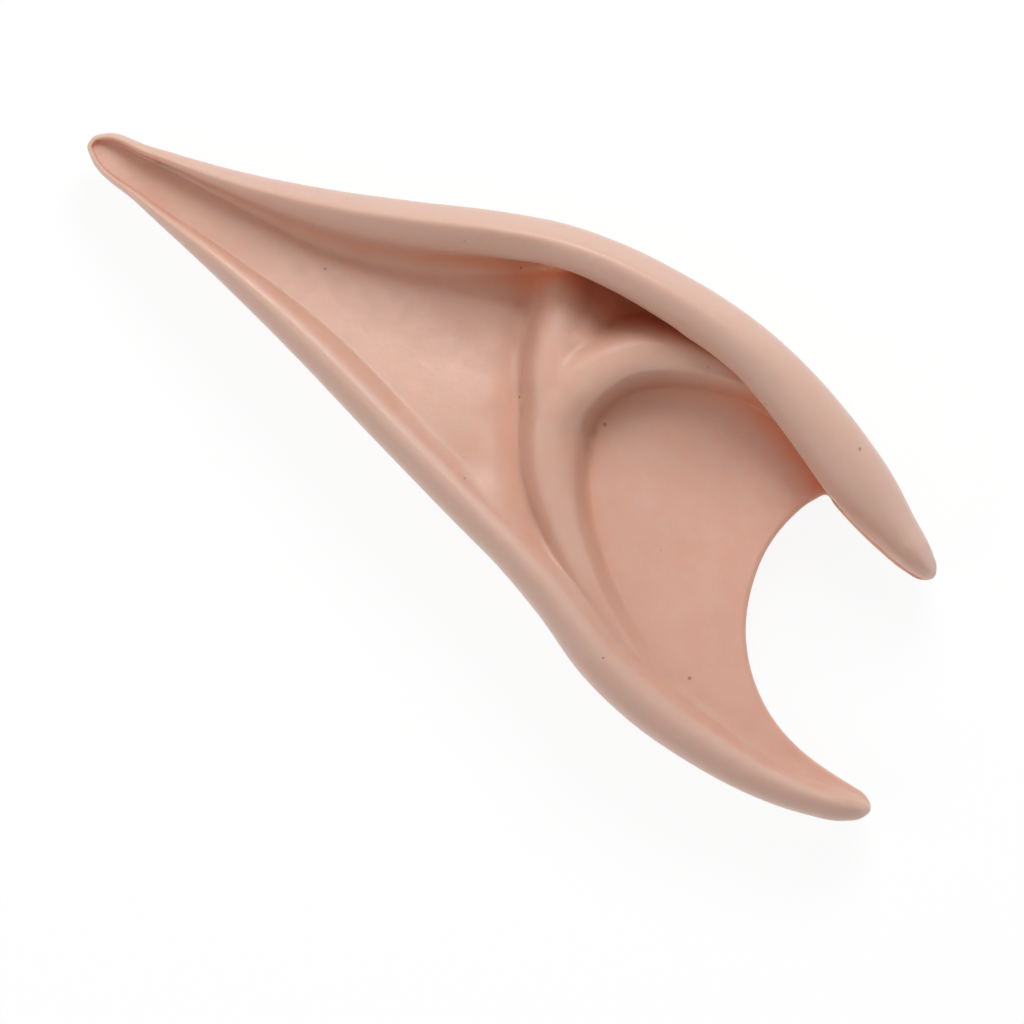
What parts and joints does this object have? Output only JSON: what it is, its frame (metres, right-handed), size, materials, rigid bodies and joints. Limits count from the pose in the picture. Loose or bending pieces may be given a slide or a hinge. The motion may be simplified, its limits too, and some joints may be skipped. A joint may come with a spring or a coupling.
{
  "type": "slip-on elf ear tip",
  "caption": "Pointed slip-on elf ear in soft cast latex: rolled rim, forked ridge, deep bowl and an open pocket behind the crescent-shaped mouth for the wearer's ear.",
  "frame": {"origin": "centre of the bounding box in X and Y, at the flat of the back in Z", "axes": "+X from the elf tip to the wearer's face, +Y up along the ear towards the crown, +Z out of the front of the ear"},
  "size_m": [0.1024, 0.0828, 0.026],
  "materials": {
    "latex": "soft satin"
  },
  "bodies": {
    "root": {"ear_shell": "latex"}
  },
  "joints": []
}
